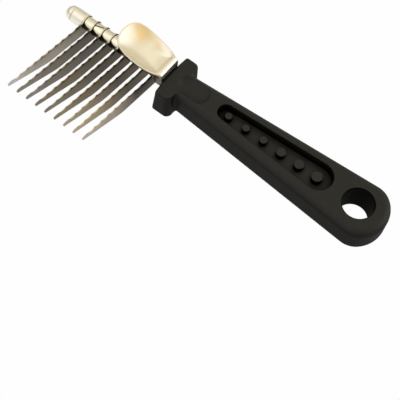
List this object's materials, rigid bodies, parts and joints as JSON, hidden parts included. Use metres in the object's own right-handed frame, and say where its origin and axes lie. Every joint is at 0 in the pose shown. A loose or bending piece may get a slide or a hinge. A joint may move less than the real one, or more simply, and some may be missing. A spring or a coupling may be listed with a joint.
{
  "type": "dematting comb",
  "caption": "Hand comb with a row of serrated blades clamped on a rod between spacers, a dished thumb rest and a black tapered grip handle with a hang hole.",
  "frame": {"origin": "centre of the hang hole at mid-thickness of the handle", "axes": "+X along the handle from the blades towards the hang hole end, blades reach along -Y, +Z out of the face with the thumb rest and grip studs"},
  "size_m": [0.1804, 0.0663, 0.0276],
  "materials": {
    "black_plastic": "fine moulded grain",
    "black_rubber": "soft matte",
    "nickel": "warm polished nickel plate",
    "blade_steel": "satin ground stainless",
    "rod_steel": "turned steel"
  },
  "bodies": {
    "comb": {"handle_body": "black_plastic", "grip_insert": "black_rubber", "spine_rod": "rod_steel", "thumb_rest": "nickel", "inner_washer": "nickel", "blade_1": "blade_steel", "blade_2": "blade_steel", "blade_3": "blade_steel", "blade_4": "blade_steel", "blade_5": "blade_steel", "blade_6": "blade_steel", "blade_7": "blade_steel", "blade_8": "blade_steel", "blade_9": "blade_steel", "spacer_1": "nickel", "spacer_2": "nickel", "spacer_3": "nickel", "spacer_4": "nickel", "spacer_5": "nickel", "spacer_6": "nickel", "spacer_7": "nickel", "spacer_8": "nickel", "end_sleeve": "nickel"},
    "washer": {"cap_washer": "nickel"},
    "cap": {"end_cap": "nickel"}
  },
  "joints": [
    {"name": "cap_travel", "type": "slide", "parent": "comb", "child": "washer", "axis": [-1, 0, 0], "range_m": [0, 0.00281]},
    {"name": "cap_turn", "type": "hinge", "parent": "washer", "child": "cap", "pos_m": [-0.1614, 0, 0.0028], "axis": [-1, 0, 0], "range_deg": [0, 1440]}
  ],
  "couplings": [
    {"joint": "cap_travel", "follows": "cap_turn", "m_per_rad": 0.00011141}
  ]
}
